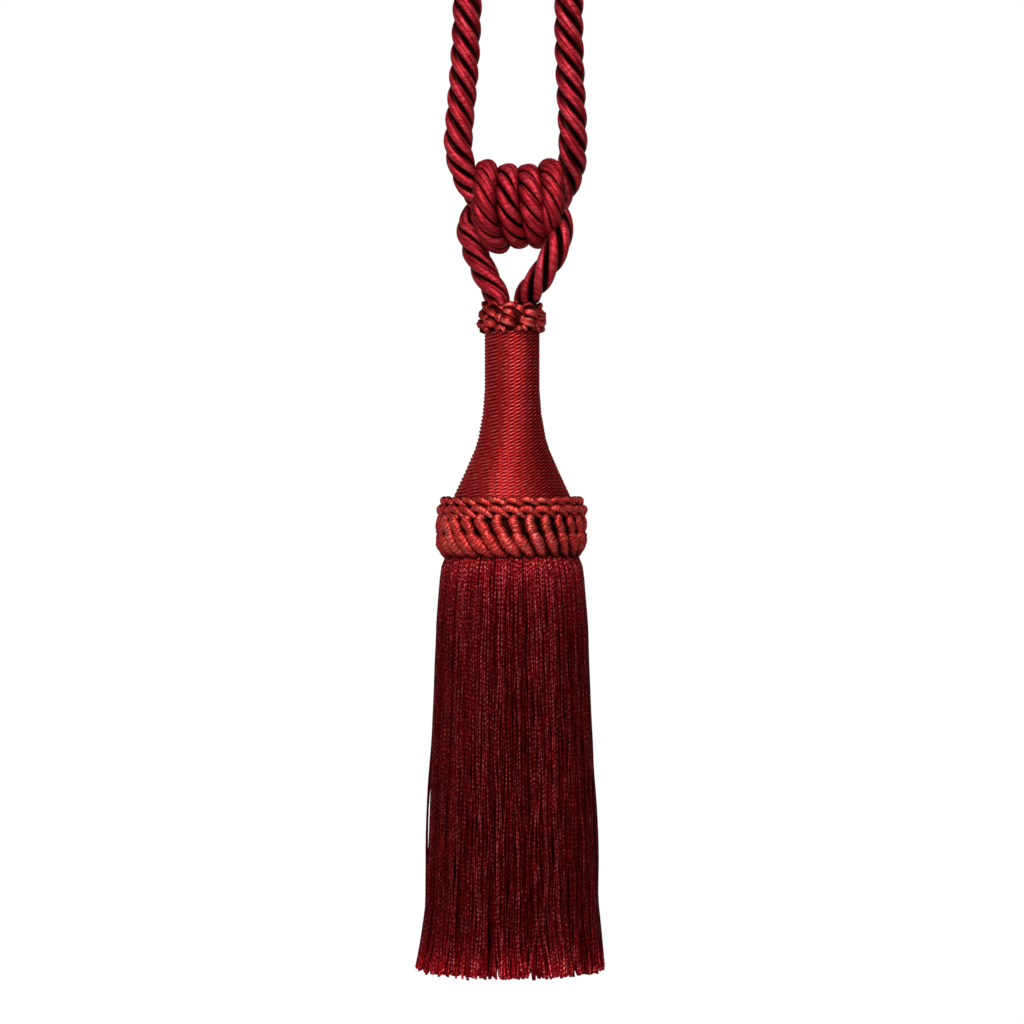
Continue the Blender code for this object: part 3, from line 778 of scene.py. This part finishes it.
class TASSEL_OT_ruff(Operator):
    """Sets the slanting gimp cords and the two rows of small arches round the head's foot."""

    bl_idname = "tassel.ruff"
    bl_label = "Ruff"

    # A gimp cord's middle line. Columns: share of a unit round the band, z, radius, half thickness.
    CORD = (
        (0.34, -240.4, 24.9, 1.20), (0.10, -241.6, 25.7, 1.75), (0.04, -243.2, 26, 2.10),
        (0.24, -245.2, 26, 2.10), (0.40, -246.9, 25.7, 1.85), (0.46, -248.4, 25.9, 2.30),
        (0.76, -250.9, 25.5, 2.50), (1.14, -253.3, 24.5, 2.15), (1.46, -254.7, 23.9, 1.75),
        (1.80, -255, 23.5, 1.30), (2.04, -254.2, 23.1, 0.90),
    )
    # How far the cords sweep round on the way down, and how much more at left than at right.
    SWEEP = 0.84
    SWEEP_VARIES = 0.28
    # How thick the cords are at the band's left, at its front and back, and at its right.
    PLUMP = (1.05, 1.0, 0.85)
    CORD_STEP = 0.16
    CORD_SIDES = 14
    # Radius where a cord is darkest, how far inside an arch's own it is, and how far out from
    # there they are fully lit.
    CORD_DARK_WITHIN = 24.2
    ARCH_DARK_BELOW = 1.5
    LIT_AFTER = 2.4
    # The braid's ground, a band painted dark as the shade behind the cords. Columns: radius, z.
    GROUND = (
        (22.4, -234.8), (24, -235.4), (24.6, -239), (24.4, -250), (23.4, -254.6),
        (22.8, -254), (22.4, -246),
    )
    # The arches above. Columns: share of a unit, z of the middle, radius, half length in units,
    # rise, half thickness.
    ARCHES = (
        (0.20, -236.8, 24.4, 0.82, 2.4, 1.85),
        (0.10, -240.1, 25.5, 0.86, 2.7, 2.0),
    )
    ARCH_STEPS = 22
    ARCH_SIDES = 12
    # Length of the wrapped yarn for each unit of half length.
    ARCH_WRAPS = 12.0
    SEED = 8

    def execute(self, context):
        given = context.scene.tassel_trim
        drawn = np.random.RandomState(self.SEED)
        yarns = Yarns()
        for number in range(given.cords):
            self.add_tube(yarns, given.wrap, drawn, *self.cord(number, given.cords, drawn))
            for arch in self.ARCHES:
                tube = self.arch(number, given.cords, arch, drawn)
                self.add_tube(yarns, given.wrap, drawn, *tube)
        # The braid's ground behind the cords, painted dark as shade.
        ground = turned(self.GROUND, 108)
        yarns.add(ground, ground, 0.05, 0.0, closed=True)
        # The gimp's colour, the share of it left where shade is painted, and the painted highlight's
        # colour.
        colours = given.colour, 0.02, (0.44, 0.145, 0.125)
        finish = silk(
            "ruff_gimp", colours, SATIN, shade_scale=1.2, fall=1.8, rough=0.42,
            grains=(((0.5, 0.5, 1.6), 1.1, 0.4), ((1.5, 1.5, 0.5), 0.25, 0.1)),
        )
        ruff = yarns.piece("ruff_cords", finish, "ruff")
        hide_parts("ruff")
        return {"FINISHED"}

    def cord(self, number, cords, drawn):
        """One gimp cord: its middle line, thickness, distance along, sides and where it is dark."""
        rows = np.array(self.CORD)
        rows[:, 0] += 0.07 * drawn.uniform(-1, 1, len(rows))
        rows[1:-2, 1] += 0.25 * drawn.uniform(-1, 1, len(rows) - 3)
        rows[:, 3] *= 1.0 + 0.09 * drawn.uniform(-1, 1, len(rows))
        start = TURN * number / cords
        rows[:, 0] *= self.SWEEP - self.SWEEP_VARIES * math.sin(start)
        rows[:, 3] *= np.interp(math.sin(start), (-1.0, 0.0, 1.0), self.PLUMP)
        share, z, radius, thick = smooth_rows(rows, [6] * (len(rows) - 1)).T
        angle = start + TURN * share / cords
        line = stacked(radius * np.sin(angle), -radius * np.cos(angle), z, thick)
        line, length = even_rows(line, self.CORD_STEP)
        along = np.linspace(0.0, length, len(line))
        return line[:, :3], line[:, 3], along, self.CORD_SIDES, self.CORD_DARK_WITHIN

    def arch(self, number, cords, arch, drawn):
        """One small arch: a plump stitch, higher in its middle and pointed at its right end."""
        share, z, radius, half, rise, thick = arch
        s = np.linspace(0.0, 1.0, self.ARCH_STEPS)
        place = share + number + half * (2 * s - 1) + 0.05 * drawn.uniform(-1, 1)
        angle = TURN * place / cords
        bowed = radius + 1.0 * np.sin(math.pi * s)
        height = z + rise * (np.sin(math.pi * s**0.75) - 0.8 * s) + 0.2 * drawn.uniform(-1, 1)
        centre = stacked(bowed * np.sin(angle), -bowed * np.cos(angle), height)
        swell = 1.48 * (s + 1e-4) ** 0.42 * (1.0 - s) ** 0.62
        swell[0] = swell[-1] = 0.04
        along = half * self.ARCH_WRAPS * s
        return centre, thick * swell, along, self.ARCH_SIDES, radius - self.ARCH_DARK_BELOW

    def add_tube(self, yarns, wrap, drawn, centre, thick, along, sides, dark_within):
        """A tube wrapped across with fine yarn, painted lit on the side away from the head, with
        shade painted towards the head and between its wraps.
        """
        ahead = ahead_of(centre)
        out = unit(centre * (1, 1, 0))
        out = unit(out - ahead * np.einsum("nk,nk->n", out, ahead)[:, None])
        side = np.cross(ahead, out)
        ring = turn_of(sides)
        marks = np.arange(0.0, along[-1] + 3.0, 1.3)
        drift, lumps = (np.interp(along, marks, drawn.uniform(-1, 1, len(marks))) for _ in range(2))
        slanted = 1.5 * np.cos(ring) - 0.6 * np.sin(ring)
        phase = (along / wrap + 0.4 * drift)[:, None] - slanted + drawn.uniform()
        bumps = np.abs(np.sin(math.pi * phase)) ** 0.7
        size = thick[:, None] * (0.91 + 0.16 * bumps + 0.09 * lumps[:, None])
        rings = ring_points(centre, side, out, size * np.sin(ring), size * np.cos(ring))
        # Painted light: lit on the outer side, and shade painted on the inner side, between the
        # wraps and deep within the band.
        painted_light = np.clip(0.35 + 0.7 * np.cos(ring), 0, 1) * (0.42 + 0.58 * bumps)
        reach = np.hypot(rings[..., 0], rings[..., 1])
        painted_light = painted_light * np.clip((reach - dark_within) / self.LIT_AFTER, LEAST_LIT, 1.0)
        far = along[:, None] - wrap * slanted + 50.0 * drawn.uniform()
        fibre = stacked(thick[:, None] * np.cos(ring), thick[:, None] * np.sin(ring), far)
        yarns.add(rings, fibre, painted_light, 0.1 * drawn.uniform(-1, 1))


class TASSEL_OT_fringe(Operator):
    """Hangs the skirt's yarns: a twisted outer layer, and plainer ones within it."""

    bl_idname = "tassel.fringe"
    bl_label = "Fringe"

    SEED = 21
    ROOT = -250.5
    # The rolled heading. Columns: radius, z.
    HEADING = ((23, -247), (23.6, -250), (23, -253.5))
    # Steps down a twisted yarn and a plain one, and the length of the twist's turn.
    STEP = 4.5
    PLAIN_STEP = 5.0
    LAY = 3.4
    # How far the outermost yarns' middles lie inside the skirt's outline.
    INSIDE = 0.7
    # A yarn's slow wander. Columns: waves from root to foot, millimetres.
    WANDER = ((1.1, 0.6), (2.3, 0.5), (4.1, 0.32), (7.3, 0.18))
    # Share of the way down where the ends begin to splay, and how much more they do at left.
    SPLAYS_AT = 0.86
    LEFTWARD = 1.3
    # A yarn this far inside follows the outline in proportion.
    DEEP = 2.5
    # Shares of the way down over which a root and a cut end are paler.
    ROOT_SHARE = 0.10
    END_SHARE = 0.024
    # How far apart two yarns may lie in their noise.
    NOISE_APART = 300.0
    # Twisted layers: share of the outer layer's yarns, and how far inside it they hang.
    TWISTED = ((1.0, 0.0), (0.86, 0.9))
    # Plain and thicker layers within them.
    INNER = ((0.62, 2.2), (0.5, 3.8), (0.4, 6.5), (0.28, 10.5), (0.18, 15.5), (0.09, 22.0))
    INNER_THICKER = 1.5
    # Yarns that hang clear of the rest for part of the way. Columns: degrees, millimetres.
    STRAYS = ((-88, 0.9), (-94, 0.7), (86, 0.7), (93, 0.9), (-150, 0.9), (128, 0.8), (170, 0.7))

    def execute(self, context):
        given = context.scene.tassel_fringe
        drawn = np.random.RandomState(self.SEED)
        # The yarn's colour, the share of it left where shade is painted, and the painted highlight's
        # colour.
        colours = given.colour, 0.1, (0.20, 0.041, 0.048)
        finish = silk(
            "fringe_yarn", colours, DULL_SATIN, shade_scale=1.15, fall=1.5, rough=0.46,
            grains=(((0.8, 0.8, 1.6), 2.6, 0.15), ((1.2, 1.2, 0.12), 0.5, 0.05)),
            level=0.56, plies=(2, self.LAY, 0.6, 0.08), glow=2.8,
        )
        front, back, inner = Yarns(), Yarns(), Yarns()
        for share, inside in self.TWISTED:
            count = round(share * given.yarns)
            parted = self.waves(count, 5, drawn)
            sunk = self.waves(count, 3, drawn)
            for number in range(count):
                place = number + 0.55 * parted[number] + 0.3 * drawn.uniform(-1, 1)
                angle = TURN * place / count
                into = front if math.cos(angle) > 0 else back
                deep = inside + 0.35 * (1.0 + sunk[number]) + 0.45 * drawn.uniform()
                thickness = given.thickness * (1.0 + 0.14 * drawn.uniform(-1, 1))
                self.add_yarn(into, angle, deep, thickness, drawn)
        for degrees, away in self.STRAYS:
            into = front if math.cos(math.radians(degrees)) > 0 else back
            self.add_yarn(into, math.radians(degrees), 0.0, 0.8 * given.thickness, drawn, away)
        for share, inside in self.INNER:
            count = round(share * given.yarns)
            for number in range(count):
                angle = TURN * (number + 0.3 * drawn.uniform(-1, 1)) / count
                deep = inside + 0.6 * drawn.uniform(-1, 1)
                thickness = self.INNER_THICKER * given.thickness
                self.add_yarn(inner, angle, deep, thickness, drawn, plain=True)
        # The rolled heading that the yarns hang from, inside the ruff, painted dark as shade.
        heading = turned(self.HEADING, 72)
        inner.add(heading, heading, 0.1, 0.0)
        fringe = front.piece("fringe_front", finish, "skirt")
        back.piece("fringe_back", finish, "skirt")
        inner.piece("fringe_inner", finish, "skirt")
        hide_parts("skirt")
        return {"FINISHED"}

    def waves(self, count, apart, drawn):
        """Slow random waves round the skirt, one value a yarn, that meet themselves again."""
        knots = drawn.uniform(-1, 1, count // apart)
        place = np.arange(count) / count * len(knots)
        return np.interp(place, np.arange(len(knots) + 1), [*knots, knots[0]])

    def hanging_line(self, angle, inside, drawn, step, away):
        """The yarn's middle line from its root to its cut end, with a slow wander of its own."""
        foot = SKIRT_FOOT + 0.7 * drawn.uniform(-1, 1) + 0.35 * drawn.normal() + 0.035 * inside
        z = np.linspace(self.ROOT, foot, round((self.ROOT - foot) / step) + 1)
        down = (self.ROOT - z) / (self.ROOT - SKIRT_FOOT)
        whole = read_table(SKIRT_OUTLINE, SKIRT_FOOT)
        share = (whole - inside) / whole
        radius = read_table(SKIRT_OUTLINE, z) - self.INSIDE
        radius = radius - inside if inside < self.DEEP else radius * share
        wander = np.zeros_like(z)
        for waves, size in self.WANDER:
            wander += size * np.sin(TURN * (waves * down + drawn.uniform())) * down**0.4
        splay = np.clip((down - self.SPLAYS_AT) / (1.0 - self.SPLAYS_AT), 0, 1) ** 1.6
        leftward = self.LEFTWARD * max(0.0, -math.sin(angle)) ** 3
        radius = radius + 0.25 * wander + splay * (0.9 * drawn.uniform(-1.0, 0.8) + leftward)
        radius = radius + away * np.sin(math.pi * np.clip((down - 0.42) / 0.5, 0, 1)) ** 2
        sideways = wander + splay * 2.0 * drawn.uniform(-1, 1)
        around = angle + sideways / np.maximum(radius, 3.0)
        return stacked(radius * np.sin(around), -radius * np.cos(around), z), down

    def add_yarn(self, yarns, angle, inside, thickness, drawn, away=0.0, plain=False):
        """One yarn, paler at its root and cut end: twisted with five sides, or plain with four."""
        step = self.PLAIN_STEP if plain else self.STEP
        centre, down = self.hanging_line(angle, inside, drawn, step, away)
        # Painted light: the outer face is lit and shade is painted on the inner one, darker on the
        # plain yarns within and on twisted yarns that hang deeper.
        if plain:
            ring = TURN * (np.arange(4) + drawn.uniform()) / 4
            painted_light = np.clip(0.3 + 0.3 * np.cos(ring), 0, 1)[None]
        else:
            ring = turn_of(5)
            painted_light = np.clip(0.48 + 0.6 * np.cos(ring), 0, 1)[None]
            painted_light = painted_light * (1.0 - 0.22 * min(inside, 2.0))
        out = unit(centre * (1, 1, 0))
        wide, deep = 0.5 * thickness * np.sin(ring)[None], 0.5 * thickness * np.cos(ring)[None]
        rings = ring_points(centre, np.cross(UP, out), out, wide, deep)
        along = centre[0, 2] - centre[:, 2]
        fibre = stacked(deep, wide, along[:, None] + self.NOISE_APART * drawn.uniform())
        root = np.exp(-((down / self.ROOT_SHARE) ** 1.6))[:, None]
        foot = np.exp(-(down[-1] - down) / self.END_SHARE)[:, None]
        # The yarns lie closest at the root, where less of the shade between them shows.
        painted_light = 1.0 - (1.0 - painted_light) * (1.0 - 0.8 * root)
        tint = 0.22 * drawn.uniform(-1, 1) * (1.0 - 0.8 * root) - 0.13 * root
        yarns.add(rings, fibre, painted_light, tint, 0.6 * root + foot * drawn.uniform(1.0, 3.0))


class TASSEL_OT_stage(Operator):
    """Sets the camera, the lights, the floor and the white studio round them."""

    bl_idname = "tassel.stage"
    bl_label = "Stage"

    # Softboxes: name, place, size, share of the key's power, and all aim at the head.
    LIGHTS = (
        ("key_softbox", (-120, -1130, 400), (480, 800), 1),
        ("overhead", (-50, -620, 850), (450, 500), 0.3),
        ("fill_left", (-1150, -150, -200), (500, 1300), 0.06),
        ("back_left", (-900, 950, -150), (800, 1300), 0.09),
        ("back_right", (800, 1100, -150), (600, 1300), 0.12),
    )
    AIM = (0.0, 0.0, -230.0)
    # The floor's height, half its side and its glow to the eye, and the studio's own light.
    FLOOR_Z = -900.0
    FLOOR_HALF = 2600.0
    FLOOR_GLOW = 0.62
    WORLD_LIGHT = 0.08

    def execute(self, context):
        scene = context.scene
        given = scene.tassel_stage
        self.add_camera(scene)
        for name, place, size, share in self.LIGHTS:
            self.add_softbox(name, place, size, share * given.key)
        self.add_sky(scene)
        self.add_floor(given.paper)
        scene.view_settings.view_transform = "Standard"
        return {"FINISHED"}

    def add_camera(self, scene):
        camera = bpy.data.cameras.new("camera")
        camera.lens = VIEW_LENS
        camera.sensor_width = VIEW_SENSOR
        camera.clip_end = 20.0
        made = add_object("camera", camera)
        made.location = (0.0, -VIEW_DISTANCE * MM, VIEW_HEIGHT * MM)
        made.rotation_euler = (math.radians(90.0), 0.0, 0.0)
        scene.camera = made

    def add_softbox(self, name, place, size, power):
        light = bpy.data.lights.new(name, "AREA")
        light.shape = "RECTANGLE"
        light.size, light.size_y = size[0] * MM, size[1] * MM
        light.energy = power
        made = add_object(name, light)
        made.location = [v * MM for v in place]
        back = np.array(place) - np.array(self.AIM)
        across = unit(np.cross(UP, back))
        up = unit(np.cross(back, across))
        axes = np.stack((across, up, unit(back)), axis=1)
        made.rotation_euler = Matrix(axes.tolist()).to_euler()
        made.visible_camera = False

    def add_sky(self, scene):
        """White to the eye, and a soft light to the yarns."""
        world = bpy.data.worlds.new("studio")
        tree = bare_tree(world)
        seen, lit = (
            add_node(tree, "ShaderNodeBackground", inputs={"Color": rgba(WHITE), "Strength": power})
            for power in (1.0, self.WORLD_LIGHT)
        )
        eye = add_node(tree, "ShaderNodeLightPath", output="Is Camera Ray")
        both = add_node(tree, "ShaderNodeMixShader", inputs={0: eye, 1: lit, 2: seen})
        add_node(tree, "ShaderNodeOutputWorld", inputs={"Surface": both}, output=None)
        scene.world = world

    def add_floor(self, paper):
        """Pale to the eye as far as it reaches, and no brighter than its paper to the yarns."""
        half, z = self.FLOOR_HALF * MM, self.FLOOR_Z * MM
        mesh = bpy.data.meshes.new("floor")
        corners = [(-half, -half, z), (half, -half, z), (half, half, z), (-half, half, z)]
        mesh.from_pydata(corners, [], [(0, 1, 2, 3)])
        finish = Finish("floor_paper")
        place = finish.node("ShaderNodeTexCoord", output="Object")
        grain = finish.noise(place, 60.0, 3.0)
        base = finish.blend(grain * 0.3, rgba(paper), rgba(paper, 0.94))
        # Its glow is for the eye alone: it lights nothing.
        eye = finish.node("ShaderNodeLightPath", output="Is Camera Ray")
        glow = finish.blend(eye, rgba(WHITE, 0.0), base)
        finish.material.cycles.emission_sampling = "NONE"
        inputs = {
            "Specular IOR Level": 0.2, "Emission Color": glow, "Emission Strength": self.FLOOR_GLOW,
        }
        bump = finish.bump(grain, 0.1, 0.5 * MM)
        mesh.materials.append(finish.shade(base, 0.8 + grain * 0.1, bump, inputs))
        add_object("floor", mesh)


class TASSEL_PT_sidebar(Panel):
    """Lists the tassel's pieces, each with its sizes and colours."""

    bl_idname = "TASSEL_PT_sidebar"
    bl_label = "Curtain tieback tassel"
    bl_space_type = "VIEW_3D"
    bl_region_type = "UI"
    bl_category = "Tassel"

    def draw(self, context):
        for name, group, operators in SIDEBAR:
            box = self.layout.box()
            for size_or_colour in group.__annotations__:
                box.prop(getattr(context.scene, name), size_or_colour)
            for operator in operators:
                box.operator(operator.bl_idname)


# Columns: name on the scene, its group of properties, and the operators that use them.
SIDEBAR = (
    ("tassel_stage", TASSEL_PG_stage, (TASSEL_OT_stage,)),
    ("tassel_rope", TASSEL_PG_rope, (TASSEL_OT_rope,)),
    ("tassel_winding", TASSEL_PG_winding, (TASSEL_OT_winding,)),
    ("tassel_trim", TASSEL_PG_trim, (TASSEL_OT_collar, TASSEL_OT_ruff)),
    ("tassel_fringe", TASSEL_PG_fringe, (TASSEL_OT_fringe,)),
)
CLASSES = [made for _, group, operators in SIDEBAR for made in (group, *operators)]
CLASSES.append(TASSEL_PT_sidebar)


def register():
    for made in CLASSES:
        bpy.utils.register_class(made)
    for name, group, _ in SIDEBAR:
        setattr(bpy.types.Scene, name, PointerProperty(type=group))


def unregister():
    for name, _, _ in SIDEBAR:
        delattr(bpy.types.Scene, name)
    for made in reversed(CLASSES):
        bpy.utils.unregister_class(made)


def main():
    register()
    bpy.ops.tassel.stage()
    bpy.ops.tassel.rope()
    bpy.ops.tassel.winding()
    bpy.ops.tassel.collar()
    bpy.ops.tassel.ruff()
    bpy.ops.tassel.fringe()


if __name__ == "__main__":
    main()
